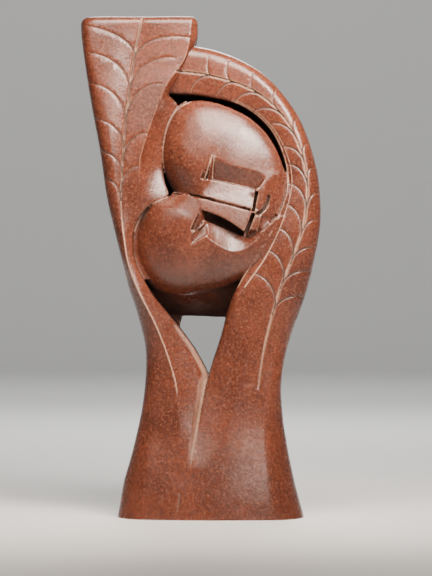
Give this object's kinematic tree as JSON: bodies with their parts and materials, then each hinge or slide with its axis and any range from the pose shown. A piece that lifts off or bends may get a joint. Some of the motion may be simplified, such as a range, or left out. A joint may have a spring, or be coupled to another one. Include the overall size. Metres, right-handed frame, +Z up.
{
  "type": "kissing couple sculpture",
  "caption": "Freestanding abstract stone carving of a couple kissing nose to nose between an upright leaf and a leaf that arches over them, above a V-shaped through opening.",
  "frame": {"origin": "on the ground under the middle of the carving's bounding box", "axes": "+Z up along the carving, +X to the viewer's right as the faces are seen, +Y from the viewer to the back"},
  "size_m": [0.2154, 0.114, 0.45],
  "materials": {
    "red_brown_stone": "hand-rubbed soft stone, mottled red-brown with a satin sheen"
  },
  "bodies": {
    "root": {"kissing_couple": "red_brown_stone"}
  },
  "joints": []
}
